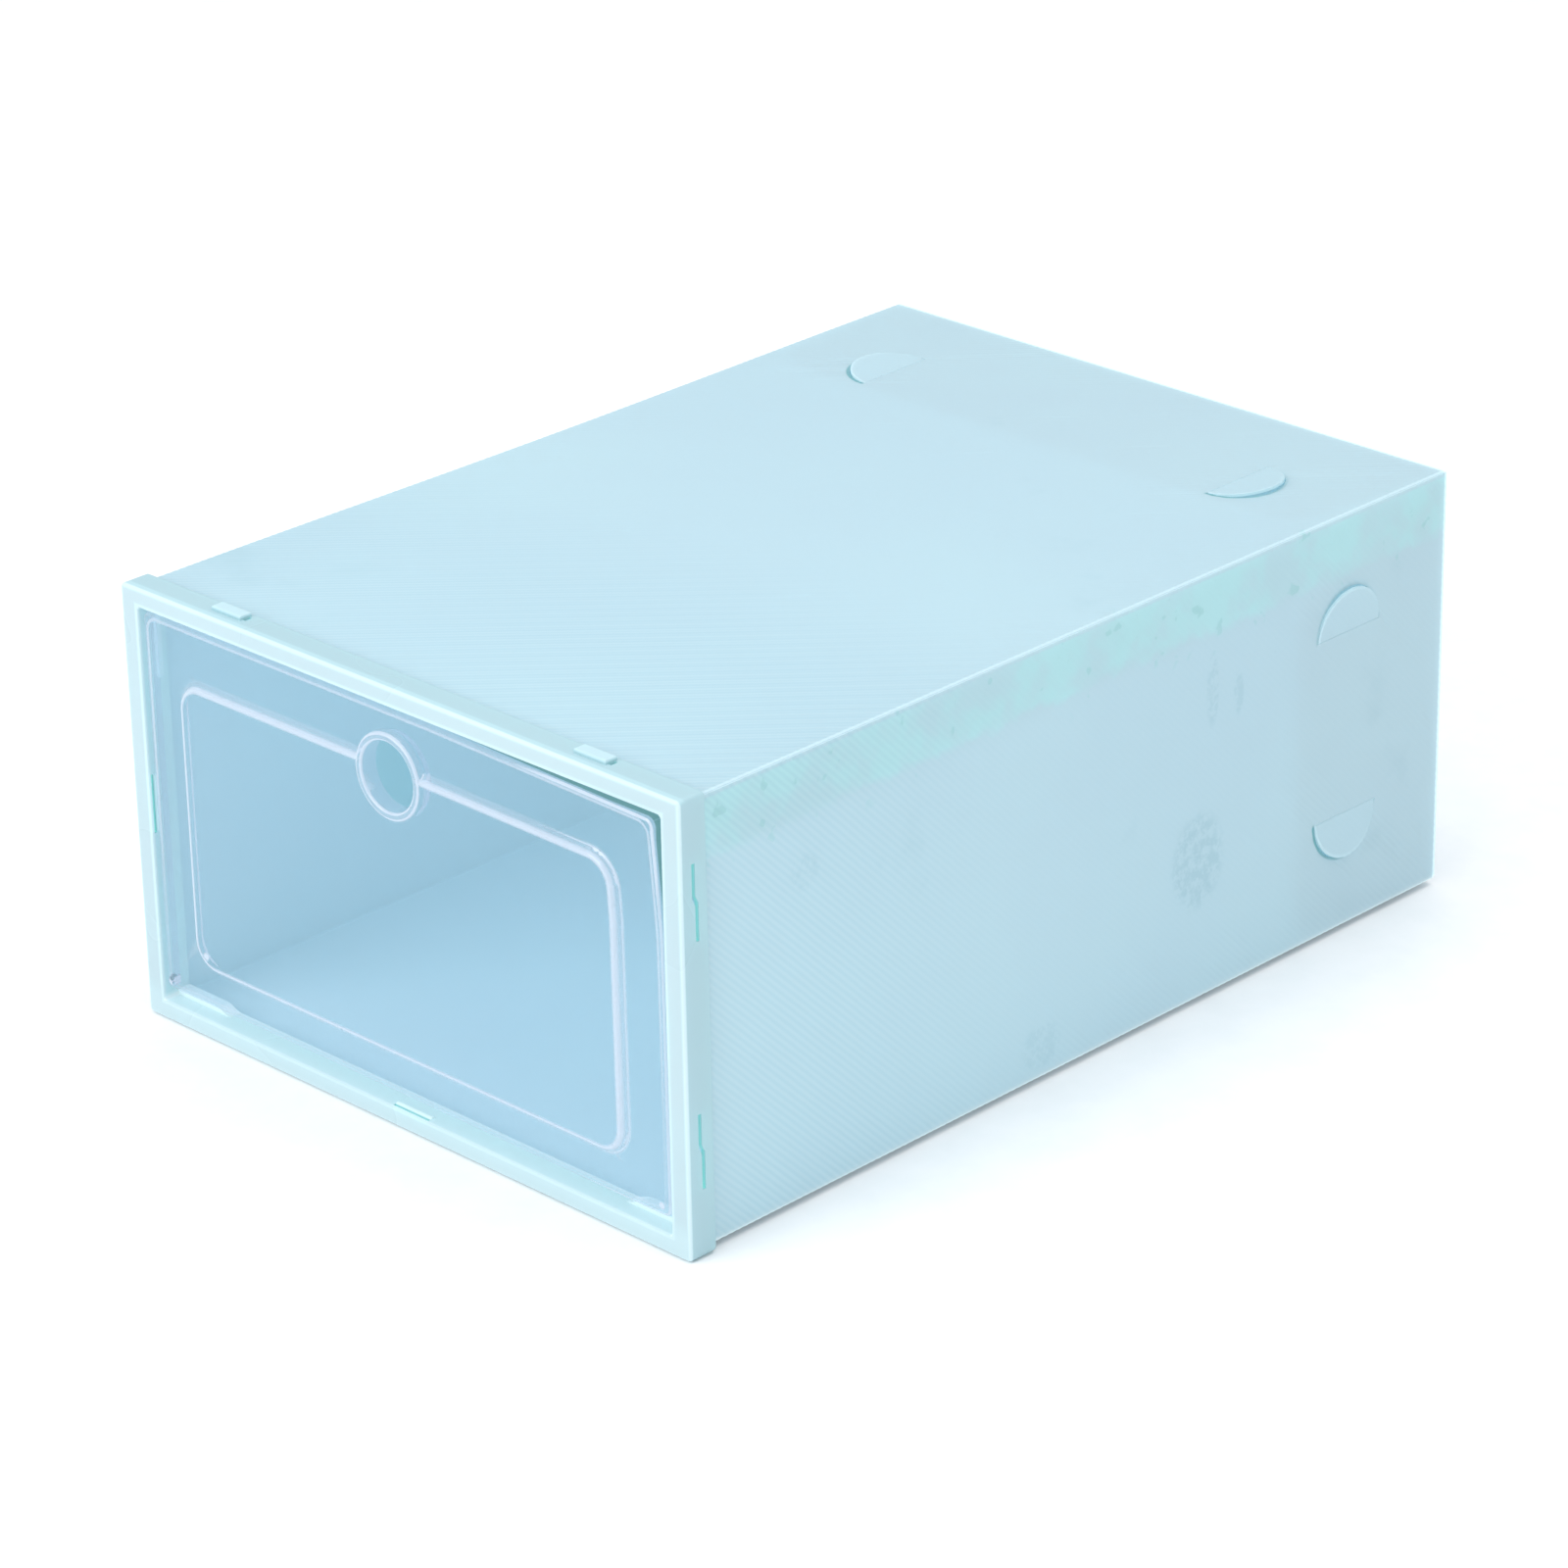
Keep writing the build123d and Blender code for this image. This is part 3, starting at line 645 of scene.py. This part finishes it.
class FoldedStrip:
    """Outer line of a folded sheet in a plane: flats with right-hand quarter folds between.

    s is the length along it, marks are the s values where flats and folds meet, and the
    outside is to the left of the heading."""

    def __init__(self, start, heading, flats):
        self.marks = [0.0]
        self.pieces = []    # is a fold, start of the flat or centre of the fold, heading
        point, angle = np.array(start, float), math.radians(heading)
        for index, flat in enumerate(flats):
            if index:
                centre = point - left_of(angle) * CREASE_R
                self.pieces.append((True, centre, angle))
                self.marks.append(self.marks[-1] + math.pi / 2 * CREASE_R)
                angle -= math.pi / 2
                point = centre + left_of(angle) * CREASE_R
            self.pieces.append((False, point, angle))
            self.marks.append(self.marks[-1] + flat)
            point = point + np.array([math.cos(angle), math.sin(angle)]) * flat
        self.length = self.marks[-1]
        self.creases = list(zip(self.marks[1::2], self.marks[2::2]))

    def crease_lines(self):
        return [a + (b - a) * k / 4 for a, b in self.creases for k in range(5)]

    def at(self, s, height):
        """Points at s, raised by height on the outside."""
        result = np.zeros((len(s), 2))
        piece_of = np.clip(np.searchsorted(self.marks, s) - 1, 0, len(self.pieces) - 1)
        for index, (is_fold, origin, angle) in enumerate(self.pieces):
            here = piece_of == index
            along, up = s[here] - self.marks[index], height[here][:, None]
            if is_fold:
                result[here] = origin + left_of(angle - along / CREASE_R) * (CREASE_R + up)
            else:
                forward = [math.cos(angle), math.sin(angle)]
                result[here] = origin + np.outer(along, forward) + up * left_of(angle)
        return result


def half_disc(chord, centre, way, radius, steps=28):
    """Half disc with its chord at the first coordinate, bulging along way (+1 or -1)."""
    angles = [math.pi * (i / steps - 0.5) for i in range(steps + 1)]
    return [(chord + way * (radius * math.cos(a)), centre + radius * math.sin(a))
            for a in angles]


# ------------------------------------------------------------------ the tube
RIGHT_TOP_Z = 138.05        # top edge of the right side, under the folded top
SEAM_INSET = 0.85           # seam flap, inwards of the right side's outer face
SEAM_FLAP = 18.0
SHEET_SETBACK = 2.2         # front edge of the sheet, behind the frame's face
SNAP_FRONT, SNAP_REAR = 3.3, 7.6
SEAM_SETBACK = 11.5         # the seam flap starts behind the frame
WARP_FRONT_Y = FRONT_Y + 12  # the sheet is held flat in front of this
WARP_SPAN = REAR_Y - FRONT_Y - 12

# in (x, z): down the right side, under, up the left side, over, down inside the right side
tube = FoldedStrip((SIDE_X, RIGHT_TOP_Z), -90, [
    RIGHT_TOP_Z - BOTTOM_Z - CREASE_R,
    2 * SIDE_X - 2 * CREASE_R,
    TOP_Z - BOTTOM_Z - 2 * CREASE_R,
    2 * SIDE_X - SEAM_INSET - 2 * CREASE_R,
    SEAM_FLAP])


def warp(points):
    """The sheet isn't dead flat: the left side bows in at the top, the top sags a little."""
    x, y, z = points.T
    bow = np.sin(math.pi * np.clip((y - WARP_FRONT_Y) / WARP_SPAN, 0, 1)) ** 2
    left = np.clip((SIDE_X - x) / (2 * SIDE_X), 0, 1)
    up = np.clip((z - BOTTOM_Z) / (TOP_Z - BOTTOM_Z), 0, 1)
    new_x = x + (1.5 * up + 0.2 * (1 - up)) * bow * left
    side = 2 * left - 1
    new_x += bow * np.sin(math.pi * up) * 0.7 * side * (np.abs(side) > 0.9)
    new_z = z - 0.7 * bow * np.sin(math.pi * left) * up
    return np.stack([new_x, y, new_z], 1)


def tube_shape(s, y, height):
    section = tube.at(s, height)
    return warp(np.stack([section[:, 0], y, section[:, 1]], 1))


def right_s(z):
    return RIGHT_TOP_Z - z


def left_s(z):
    return tube.marks[4] + (z - (BOTTOM_Z + CREASE_R))


def top_s(x):
    return tube.marks[6] + (x - (-SIDE_X + CREASE_R))


# name: s of the chord, y of the centre, direction the round points along s
TONGUES = {
    "tongue_top_left": (top_s(-TONGUE_TOP_X), TONGUE_TOP_Y, -1),
    "tongue_top_right": (top_s(TONGUE_TOP_X), TONGUE_TOP_Y, 1),
    "tongue_right_upper": (right_s(TONGUE_UPPER_Z), TONGUE_SIDE_Y, -1),
    "tongue_right_lower": (right_s(TONGUE_LOWER_Z), TONGUE_SIDE_Y, 1),
    "tongue_left_upper": (left_s(TONGUE_UPPER_Z), TONGUE_SIDE_Y, 1),
    "tongue_left_lower": (left_s(TONGUE_LOWER_Z), TONGUE_SIDE_Y, -1),
}


def build_tube():
    holes = [half_disc(chord, y, way, TONGUE_R) for chord, y, way in TONGUES.values()]
    front, rear = FRONT_Y + SNAP_FRONT, FRONT_Y + SNAP_REAR
    for z in SNAP_Z:
        low, high = z - SNAP_HALF, z + SNAP_HALF
        for s0, s1 in ((right_s(high), right_s(low)), (left_s(low), left_s(high))):
            holes.append([(s0, front), (s1, front), (s1, rear), (s0, rear)])
    seam_s, seam_y = tube.marks[8] + 0.2, FRONT_Y + SEAM_SETBACK
    sheet_y = FRONT_Y + SHEET_SETBACK
    outline = [(0, sheet_y), (seam_s, sheet_y), (seam_s, seam_y), (tube.length, seam_y + 6),
               (tube.length, REAR_Y - 4), (seam_s, REAR_Y), (0, REAR_Y)]
    # the walls are divided so that they can bow: sides in 4, bottom and top in 6
    grid = []
    for mark, parts in ((0, 4), (2, 6), (4, 4), (6, 6)):
        a, b = tube.marks[mark:mark + 2]
        grid += [a + (b - a) * k / parts for k in range(1, parts)]
    flat = blank(outline, holes, sorted(tube.crease_lines() + grid),
                 [WARP_FRONT_Y + WARP_SPAN * k / 8 for k in range(8)])
    add_sheet("folded_sheet", flat, tube_shape, SHEET, body="case",
              replaces=("bottom_panel", "left_panel", "right_panel", "top_panel", "seam_flap"),
              creases=tube.creases[:4], whiten_and_shine=True)


def build_tongue(name, chord, centre_y, way):
    """A tongue a little smaller than its hole, bent outwards about its chord."""
    flat = blank(half_disc(chord + way * 0.15, centre_y, way, TONGUE_R - 0.37), (),
                 [chord + way * k for k in (2.4, 4.8, 7.2, 9.6, 12.0)], ())

    def shape(s, y, height):
        reach = np.clip((s - chord) * way, 0, None)
        lift = math.tan(math.radians(5)) * reach * (0.8 + 0.4 * reach / TONGUE_R)
        return tube_shape(s, y, height + lift)

    # the tongues' cut edges get a strong painted highlight
    add_sheet(name + "_cut", flat, shape, SHEET, replaces=(name,), body=name, edge_white_and_shine=0.7)


build_tube()
for tongue, place in TONGUES.items():
    build_tongue(tongue, *place)

# ------------------------------------------------------------------ tuck-in back
BACK_Y = REAR_Y - 0.3               # outer face of the back
BACK_X = 112.4                      # outer faces of its side flaps
BACK_TOP_Z = 137.3
BACK_SIDE_REACH, TUCK_REACH = 68.0, 63.0    # flaps, forward from BACK_INNER_Y
BACK_INNER_Y = BACK_Y - 0.8
SIDE_FLAP_LOW_Z, SIDE_FLAP_HIGH_Z = 4.4, 116.0
FLAP_HOLE_R = 15.1                  # half-round holes behind the tongues
TUCK_X = 111.3
TUCK_DROP = 0.06

# in (x, y): back along the left flap, across the back, forward along the right flap
back_front_y = BACK_INNER_Y - BACK_SIDE_REACH
flap_length = BACK_SIDE_REACH + 0.8 - CREASE_R
back = FoldedStrip((-BACK_X, back_front_y), 90,
                   [flap_length, 2 * BACK_X - 2 * CREASE_R, flap_length])


def round_tip(s, z, way_s, way_z, radius=10.0, steps=8):
    """Quarter-circle corner at (s, z), the flap lying towards (way_s, way_z)."""
    centre = (s + way_s * radius, z + way_z * radius)
    angles = [math.pi / 2 * k / steps for k in range(steps + 1)]
    return [(centre[0] - way_s * radius * math.cos(a), centre[1] - way_z * radius * math.sin(a))
            for a in angles]


def back_shape(s, z, height):
    section = back.at(s, height)
    return np.stack([section[:, 0], section[:, 1], z], 1)


def tuck_shape(s, y, height):
    return np.stack([s, y, BACK_TOP_Z - TUCK_DROP + height], 1)


def build_back():
    left, right = back.marks[1], back.marks[4]
    low, high = BOTTOM_Z + CREASE_R, BACK_TOP_Z - CREASE_R
    relief = 0.35       # the flaps start this far outside the folds
    outline = [
        *round_tip(0, SIDE_FLAP_LOW_Z, 1, 1),
        (left - relief, 2.9), (left, low), (right, low), (right + relief, 2.9),
        *round_tip(back.length, SIDE_FLAP_LOW_Z, -1, 1)[::-1],
        *round_tip(back.length, SIDE_FLAP_HIGH_Z, -1, -1),
        (right + relief, 134.0), (right, high), (left, high), (left - relief, 134.0),
        *round_tip(0, SIDE_FLAP_HIGH_Z, 1, -1)[::-1]]
    hole_s = TONGUE_SIDE_Y - back_front_y
    holes = [[(s, z) for z, s in half_disc(hole_z, centre_s, way, FLAP_HOLE_R, steps=20)]
             for hole_z, way in ((TONGUE_UPPER_Z, 1), (TONGUE_LOWER_Z, -1))
             for centre_s in (hole_s, back.length - hole_s)]
    a, b = back.marks[2:4]
    flat = blank(outline, holes, back.crease_lines() + [a + (b - a) * k / 4 for k in (1, 2, 3)],
                 [35, 70, 105])
    add_sheet("back_fold_panel", flat, back_shape, FLAPS, body="back",
              replaces=("back_panel", "back_left_flap", "back_right_flap"),
              creases=back.creases[:2])


def build_tuck_flap():
    tip_y, fold_y = BACK_INNER_Y - TUCK_REACH, BACK_Y - CREASE_R
    outline = [*round_tip(-TUCK_X + 3, tip_y, 1, 1)[::-1],
               (-TUCK_X, fold_y), (TUCK_X, fold_y),
               *round_tip(TUCK_X - 3, tip_y, -1, 1)]
    holes = [half_disc(way * TONGUE_TOP_X, TONGUE_TOP_Y, way, FLAP_HOLE_R, steps=20)
             for way in (-1, 1)]
    points, triangles, heights = blank(outline, holes, [-60, 0, 60],
                                       [REAR_Y - 40, REAR_Y - 20])
    add_sheet("tuck_flap_panel", (points, triangles, heights * 0.8), tuck_shape, FLAPS,
              replaces=("back_top_flap",), body="tuck_flap")


def crease_strip(name, half_width, centre, first_angle):
    """A living hinge: a quarter tube along x at the fold between two bodies.

    centre is (y, z); the angle is in degrees from +y towards +z."""
    rows, columns = 7, 40
    points = []
    for radius in (CREASE_R, CREASE_R - SHEET_T):
        for k in range(rows):
            angle = math.radians(first_angle + 90 * k / (rows - 1))
            y = centre[0] + radius * math.cos(angle)
            z = centre[1] + radius * math.sin(angle)
            points += [(-half_width + 2 * half_width * j / columns, y, z)
                       for j in range(columns + 1)]
    count = len(points) // 2

    def at(k, j):
        return k * (columns + 1) + j

    faces, sharp = [], []
    for k in range(rows - 1):
        for j in range(columns):
            face = (at(k, j), at(k, j + 1), at(k + 1, j + 1), at(k + 1, j))
            faces += [face[::-1], tuple(i + count for i in face)]
    # the border joins outside and inside: its edges, and whether they run face side first
    border = [(at(k, j), at(k + 1, j), j > 0) for k in range(rows - 1) for j in (0, columns)]
    border += [(at(k, j), at(k, j + 1), k == 0) for j in range(columns) for k in (0, rows - 1)]
    for a, b, keep in border:
        face = (a, b, b + count, a + count)
        faces.append(face if keep else face[::-1])
        sharp += [face[:2], face[2:]]
    ob = add_mesh(name, points, faces, sharp, FLAPS)
    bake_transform(ob)


build_back()
build_tuck_flap()
crease_strip("back_crease", BACK_X - 1, (BACK_Y - CREASE_R, BOTTOM_Z + CREASE_R), -90)
crease_strip("tuck_crease", BACK_X - 2, (BACK_Y - CREASE_R, BACK_TOP_Z - CREASE_R), 0)

# ------------------------------------------------------------------ mouldings
# The door's top right corner stands forward: where that starts, its extent and amount, m
LIFT_X, LIFT_WIDTH = 0.008, 0.1
LIFT_Z, LIFT_HEIGHT = 0.092, 0.042
CORNER_LIFT = 0.0033


def dress_frame():
    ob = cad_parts["front_frame"]
    ob.data.materials.clear()
    ob.data.materials.append(FRAME)
    for face in ob.data.polygons:
        face.use_smooth = max(abs(c) for c in face.normal) < 0.9995


def build_door():
    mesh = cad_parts["door"].data.copy()
    mesh.name = "door_moulding"
    bm = bmesh.new()
    bm.from_mesh(mesh)
    bmesh.ops.remove_doubles(bm, verts=bm.verts, dist=1e-6)
    cuts = [((LIFT_X + LIFT_WIDTH * k / 13, 0, 0), (1, 0, 0)) for k in range(1, 14)]
    cuts += [((0, 0, LIFT_Z + LIFT_HEIGHT * k / 9), (0, 0, 1)) for k in range(1, 9)]
    for point, normal in cuts:
        bmesh.ops.bisect_plane(bm, geom=bm.verts[:] + bm.edges[:] + bm.faces[:],
                               plane_co=point, plane_no=normal, dist=1e-6)
    for vert in bm.verts:
        across = min(max((vert.co.x - LIFT_X) / LIFT_WIDTH, 0), 1)
        up = min(max((vert.co.z - LIFT_Z) / LIFT_HEIGHT, 0), 1)
        vert.co.y -= CORNER_LIFT * across ** 1.15 * up ** 1.1
    for face in bm.faces:
        face.smooth = True
    for edge in bm.edges:
        edge.smooth = len(edge.link_faces) == 2 and edge.calc_face_angle(0) <= math.radians(32)
    bm.to_mesh(mesh)
    bm.free()
    mesh.materials.clear()
    mesh.materials.append(DOOR)
    ob = bpy.data.objects.new("door_moulding", mesh)
    scene.collection.objects.link(ob)
    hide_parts("door")
    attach(ob, "door")


dress_frame()
build_door()


# ------------------------------------------------------------------ floor, light, camera
def build_floor(half_size=4, cells=24, z=-0.0004):
    mesh = bpy.data.meshes.new("floor")
    grid = np.linspace(-half_size, half_size, cells + 1)
    row = cells + 1
    corners = [i * row + j for i in range(cells) for j in range(cells)]
    mesh.from_pydata([(float(a), float(b), z) for a in grid for b in grid], [],
                     [(c, c + row, c + row + 1, c + 1) for c in corners])
    mesh.materials.append(floor_material("floor_paper"))
    floor = bpy.data.objects.new("floor", mesh)
    scene.collection.objects.link(floor)


def area_light(name, location, target, size, power, colour):
    data = bpy.data.lights.new(name, "AREA")
    data.shape = "RECTANGLE"
    data.size, data.size_y = size
    data.energy = power
    data.color = colour
    light = bpy.data.objects.new(name, data)
    scene.collection.objects.link(light)
    light.location = location
    light.rotation_mode = "QUATERNION"
    direction = Vector(target) - Vector(location)
    light.rotation_quaternion = direction.to_track_quat("-Z", "Y")


def build_camera():
    data = bpy.data.cameras.new("camera")
    data.sensor_width = 36.0
    data.lens = 131.84693236
    data.clip_start, data.clip_end = 0.05, 30
    camera = bpy.data.objects.new("camera", data)
    scene.collection.objects.link(camera)
    right = (0.7151845579673253, 0.6987073956849323, -0.017861222249924424)
    up = (-0.2766683515773576, 0.30647542722017623, 0.9107839676595534)
    backward = (0.64184552, -0.64643699, 0.41249672)
    pose = Matrix((right, up, backward)).transposed().to_4x4()
    pose.translation = (1.115875941296621, -1.1311341679289213, 0.7747271141555567)
    camera.matrix_world = pose
    scene.camera = camera


build_floor()

world = bpy.data.worlds.new("studio")
scene.world = world
world.use_nodes = True
background = world.node_tree.nodes["Background"]
background.inputs["Color"].default_value = (0.92, 0.97, 1.0, 1)
background.inputs["Strength"].default_value = 0.72

area_light("key", location=(-0.5, -1.9, 1.1), target=(0, 0, 0.07), size=(1.6, 1.2),
           power=26, colour=(1.0, 0.98, 0.965))
area_light("overhead", location=(0.1, 0.2, 2.0), target=(0, 0, 0), size=(2.2, 2.2),
           power=22.5, colour=(1.0, 0.965, 0.965))
area_light("side", location=(2.0, 0.1, 0.8), target=(0, 0, 0.07), size=(1.2, 1.2),
           power=6.5, colour=(1.0, 0.99, 0.97))
build_camera()

scene.view_settings.view_transform = "Standard"
scene.view_settings.look = "None"
scene.view_settings.exposure = 0.0
